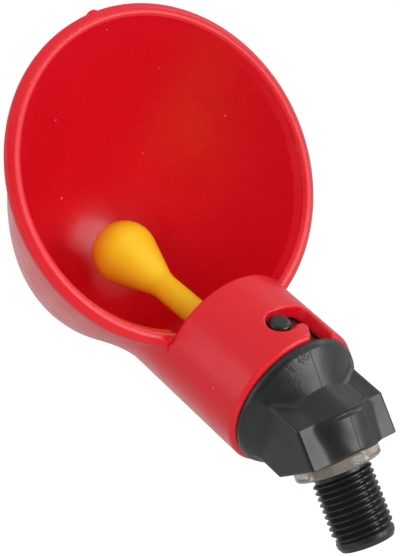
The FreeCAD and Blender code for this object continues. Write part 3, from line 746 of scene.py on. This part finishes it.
red, _ = moulded(
    "red_moulding", colour=(0.725, 0.0062, 0.017), deep=(0.68, 0.0050, 0.014), dust=(0.74, 0.30, 0.28),
    gloss=(0.25, 0.33), skin=(2200.0, 0.0004 * MM), waves=(160.0, 0.05 * MM), marks=cup_mould_line)
black, black_shader = moulded(
    "black_moulding", colour=(0.013, 0.013, 0.012), deep=(0.010, 0.010, 0.010), dust=(0.12, 0.12, 0.12),
    gloss=(0.26, 0.38), skin=(1500.0, 0.006 * MM), waves=(420.0, 0.08 * MM), marks=fitting_marks)
black_shader.inputs["Specular IOR Level"].default_value = 0.62
yellow, _ = moulded(
    "yellow_moulding", colour=(0.98, 0.71, 0.020), deep=(0.97, 0.67, 0.018), dust=(0.90, 0.80, 0.40),
    gloss=(0.28, 0.36), skin=(2200.0, 0.003 * MM), waves=(300.0, 0.04 * MM))
milky, milky_shader = moulded(
    "milky_silicone", colour=(0.60, 0.54, 0.46), deep=(0.53, 0.47, 0.40), dust=(0.80, 0.76, 0.70),
    gloss=(0.10, 0.16), skin=(700.0, 0.0003 * MM), waves=(260.0, 0.01 * MM))
milky_shader.inputs["Transmission Weight"].default_value = 0.78
milky_shader.inputs["IOR"].default_value = 1.41
rubber, _ = moulded(
    "black_rubber", colour=(0.022, 0.022, 0.022), deep=(0.016, 0.016, 0.016), dust=(0.10, 0.10, 0.10),
    gloss=(0.5, 0.65), skin=(3000.0, 0.006 * MM), waves=(400.0, 0.02 * MM))
steel, steel_shader = moulded(
    "spring_wire", colour=(0.62, 0.61, 0.59), deep=(0.55, 0.54, 0.52), dust=(0.50, 0.50, 0.50),
    gloss=(0.22, 0.34), skin=(4000.0, 0.002 * MM), waves=(600.0, 0.01 * MM))
steel_shader.inputs["Metallic"].default_value = 1


# Thread

def thread_tree():
    """A ridge of V section with a narrow crest along a helix, which runs out at both ends."""
    tree = bpy.data.node_groups.new("thread_ridge", "GeometryNodeTree")
    for label, kind in (
        ("Core radius", "NodeSocketFloat"), ("Height", "NodeSocketFloat"), ("Pitch", "NodeSocketFloat"),
        ("Turns", "NodeSocketFloat"), ("Start", "NodeSocketFloat"), ("Crest share", "NodeSocketFloat"),
        ("Parting share", "NodeSocketFloat"),
        ("Steps", "NodeSocketInt"), ("Finish", "NodeSocketMaterial"),
    ):
        tree.interface.new_socket(label, in_out="INPUT", socket_type=kind)
    tree.interface.new_socket("Geometry", in_out="OUTPUT", socket_type="NodeSocketGeometry")
    given = tree.nodes.new("NodeGroupInput").outputs
    result = tree.nodes.new("NodeGroupOutput")

    spiral = linked(tree, "GeometryNodeCurveSpiral", Resolution=given["Steps"], Rotations=given["Turns"],
                    Start_Radius=given["Core radius"], End_Radius=given["Core radius"],
                    Height=reckon(tree, "MULTIPLY", given["Turns"], given["Pitch"]))
    spiral.inputs["Reverse"].default_value = True
    helix = linked(tree, "GeometryNodeSetCurveNormal", {"mode": "Z_UP"}, Curve=spiral.outputs["Curve"])
    share = tree.nodes.new("GeometryNodeSplineParameter").outputs["Factor"]
    from_end = reckon(tree, "MINIMUM", share, reckon(tree, "SUBTRACT", 1.0, share))
    run_out = reckon(tree, "MINIMUM", 1.0, reckon(tree, "MULTIPLY", from_end, THREAD_RUN_OUT))

    circle = linked(tree, "GeometryNodeCurvePrimitiveCircle", Resolution=THREAD_SECTION_POINTS, Radius=1.0)
    circle = linked(tree, "GeometryNodeTransform", Geometry=circle.outputs["Curve"],
                    Rotation=(0, 0, math.pi / THREAD_SECTION_POINTS))
    where = tree.nodes.new("GeometryNodeInputPosition").outputs[0]
    corner = linked(tree, "ShaderNodeSeparateXYZ", Vector=where)
    across, up = corner.outputs["X"], corner.outputs["Y"]
    from_edge = reckon(tree, "SUBTRACT", 1.0, reckon(tree, "ABSOLUTE", across))
    flank = reckon(tree, "DIVIDE", from_edge, reckon(tree, "SUBTRACT", 1.0, given["Crest share"]))
    crest = reckon(tree, "MULTIPLY", given["Height"], reckon(tree, "MINIMUM", flank, 1.0))
    root = reckon(tree, "MULTIPLY", given["Height"], -THREAD_SINK_SHARE)
    raised = reckon(tree, "GREATER_THAN", up, -0.01)
    level = reckon(tree, "ADD", reckon(tree, "MULTIPLY", raised, crest),
                   reckon(tree, "MULTIPLY", reckon(tree, "SUBTRACT", 1.0, raised), root))
    half_pitch = reckon(tree, "MULTIPLY", given["Pitch"], 0.5)
    section_place = linked(tree, "ShaderNodeCombineXYZ", X=level,
                           Y=reckon(tree, "MULTIPLY", across, half_pitch))
    section = linked(tree, "GeometryNodeSetPosition", Geometry=circle.outputs["Geometry"],
                     Position=section_place.outputs[0])
    ridge = linked(tree, "GeometryNodeCurveToMesh", Curve=helix.outputs["Curve"],
                   Profile_Curve=section.outputs["Geometry"], Scale=run_out, Fill_Caps=True)

    where = tree.nodes.new("GeometryNodeInputPosition").outputs[0]
    spot = linked(tree, "ShaderNodeSeparateXYZ", Vector=where)
    beside = reckon(tree, "ABSOLUTE", spot.outputs["X"])
    pull = remap(tree, beside, PARTING_FLAT, PARTING_FADE, given["Parting share"], 1.0)
    turned = linked(tree, "ShaderNodeCombineXYZ", X=spot.outputs["X"],
                    Y=reckon(tree, "ADD", spot.outputs["Z"], given["Start"]),
                    Z=reckon(tree, "MULTIPLY", reckon(tree, "MULTIPLY", spot.outputs["Y"], pull), -1.0))
    placed = linked(tree, "GeometryNodeSetPosition", Geometry=ridge.outputs["Mesh"],
                    Position=turned.outputs[0])
    smooth = linked(tree, "GeometryNodeSetShadeSmooth", Geometry=placed.outputs["Geometry"])
    fold = tree.nodes.new("GeometryNodeInputMeshEdgeAngle").outputs["Unsigned Angle"]
    crisp = linked(tree, "GeometryNodeSetShadeSmooth", {"domain": "EDGE"},
                   Geometry=smooth.outputs["Geometry"], Shade_Smooth=False,
                   Selection=reckon(tree, "GREATER_THAN", fold, THREAD_CRISP_ANGLE))
    real = linked(tree, "GeometryNodeRealizeInstances", Geometry=crisp.outputs["Geometry"])
    dressed = linked(tree, "GeometryNodeSetMaterial", Geometry=real.outputs["Geometry"],
                     Material=given["Finish"])
    tree.links.new(dressed.outputs["Geometry"], result.inputs["Geometry"])
    return tree


def grown(name, tree, settings):
    """The plain mesh that a node tree makes with the given sizes."""
    piece = bpy.data.objects.new(name, bpy.data.meshes.new(name))
    bpy.context.scene.collection.objects.link(piece)
    modifier = piece.modifiers.new(name, "NODES")
    modifier.node_group = tree
    for item in tree.interface.items_tree:
        if item.in_out == "INPUT":
            modifier[item.identifier] = settings[item.name]
    graph = bpy.context.evaluated_depsgraph_get()
    plain = bpy.data.meshes.new_from_object(piece.evaluated_get(graph))
    plain.name = name
    piece.modifiers.clear()
    piece.data = plain
    return piece


thread = grown("stub_thread", thread_tree(), {
    "Core radius": THREAD_CORE, "Height": THREAD_HEIGHT, "Pitch": THREAD_PITCH, "Turns": THREAD_TURNS,
    "Start": THREAD_START, "Crest share": CREST_SHARE, "Parting share": PARTING_SHARE,
    "Steps": THREAD_STEPS, "Finish": black,
})


# Pieces

cup = skinned("cup_moulding", nodes["drinking_cup"], cup_distance, voxel=0.5 * MM, bends=(14, 14))
dress(cup, red)
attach(cup, "cup")
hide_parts("drinking_cup")

elbow = skinned("elbow_moulding", nodes["elbow_body"], elbow_distance, voxel=0.32 * MM, bends=(16, 16))
dress(elbow, black)
for piece in (elbow, thread):
    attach(piece, "fitting")
    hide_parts("elbow_body")

trigger = skinned("trigger_moulding", nodes["trigger"], trigger_distance, voxel=0.35 * MM, bends=(10,))
dress(trigger, yellow)
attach(trigger, "trigger")
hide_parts("trigger")

washer = skinned("washer_ring", nodes["sealing_washer"], washer_distance, voxel=0.22 * MM, bends=(16,))
dress(washer, milky)
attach(washer, "fitting")
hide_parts("sealing_washer")

dress(nodes["seat_seal"], rubber)
dress(nodes["seat_retainer"], black)
dress(nodes["return_spring"], steel)


# Stage, light and camera

def plane(name, size, place):
    """A level square of that size."""
    mesh = bpy.data.meshes.new(name)
    half = size / 2
    corners = [(-half, -half, 0), (half, -half, 0), (half, half, 0), (-half, half, 0)]
    mesh.from_pydata(corners, [], [(0, 1, 2, 3)])
    made = bpy.data.objects.new(name, mesh)
    bpy.context.scene.collection.objects.link(made)
    made.location = place
    return made


def softbox(name, way, far, wide, tall, radiance):
    """A flat lamp that hangs some way from the object's middle and faces it."""
    light = bpy.data.lights.new(name, "AREA")
    light.shape = "RECTANGLE"
    light.size, light.size_y = wide, tall
    light.energy = radiance * math.pi * wide * tall
    made = bpy.data.objects.new(name, light)
    bpy.context.scene.collection.objects.link(made)
    made.location = OBJECT_MIDDLE + Vector(way).normalized() * far
    made.rotation_euler = (OBJECT_MIDDLE - made.location).to_track_quat("-Z", "Y").to_euler()
    made.visible_camera = False
    return made


def studio_world():
    """Pale walls, dimmer low down but not straight below, and dark where the photographer stands."""
    world = bpy.data.worlds.new("studio")
    bpy.context.scene.world = world
    world.use_nodes = True
    tree = world.node_tree
    way = linked(tree, "ShaderNodeTexCoord").outputs["Generated"]
    height = linked(tree, "ShaderNodeSeparateXYZ", Vector=way).outputs["Z"]
    walls = remap(tree, height, *WALLS_SPAN, WALLS_LOW, WALLS_HIGH)
    walls = reckon(tree, "ADD", walls, remap(tree, height, *GROUND_SPAN, GROUND_EXTRA, 0.0))
    facing = linked(tree, "ShaderNodeVectorMath", {"operation": "DOT_PRODUCT"})
    tree.links.new(way, facing.inputs[0])
    facing.inputs[1].default_value = PHOTOGRAPHER_WAY.normalized()
    shade = remap(tree, facing.outputs["Value"], *PHOTOGRAPHER_SPAN, 1.0, PHOTOGRAPHER_SHARE)
    strength = tree.nodes["Background"].inputs["Strength"]
    tree.nodes["Background"].inputs["Color"].default_value = (1, 1, 1, 1)
    tree.links.new(reckon(tree, "MULTIPLY", walls, shade), strength)


floor = plane("floor", FLOOR_SIZE, FLOOR_PLACE)
paper, _, paper_shader = material("pale_paper", (0.94, 0.94, 0.94), 0.9)
paper_shader.inputs["Emission Color"].default_value = (1, 1, 1, 1)
paper_shader.inputs["Emission Strength"].default_value = FLOOR_GLOW
dress(floor, paper)
floor.visible_glossy = False
floor.visible_diffuse = False

softbox("key", (-0.43, 0.17, 0.86), far=0.7, wide=0.34, tall=0.50, radiance=3.5)
softbox("side", (0.85, -0.45, -0.2), far=0.5, wide=0.3, tall=0.3, radiance=0.9)
softbox("back", (-0.82, -0.5, 0.29), far=0.6, wide=0.3, tall=0.3, radiance=1.6)
fill = softbox("fill", (0.50, 0.05, 0.87), far=0.8, wide=0.7, tall=0.7, radiance=2.6)
fill.visible_glossy = False
studio_world()
bpy.context.scene.view_settings.view_transform = "Standard"

camera_data = bpy.data.cameras.new("camera")
camera_data.lens = CAMERA_LENS
camera_data.sensor_width = SENSOR_WIDTH
camera_data.clip_start = 0.01
camera = bpy.data.objects.new("camera", camera_data)
bpy.context.scene.collection.objects.link(camera)
look = Vector(CAMERA_LOOK).normalized()
right = look.cross(Vector(CAMERA_UP)).normalized()
up = right.cross(look).normalized()
turn = Matrix((right, up, -look)).transposed()
camera.matrix_world = Matrix.Translation(CAMERA_PLACE) @ turn.to_4x4()
bpy.context.scene.camera = camera
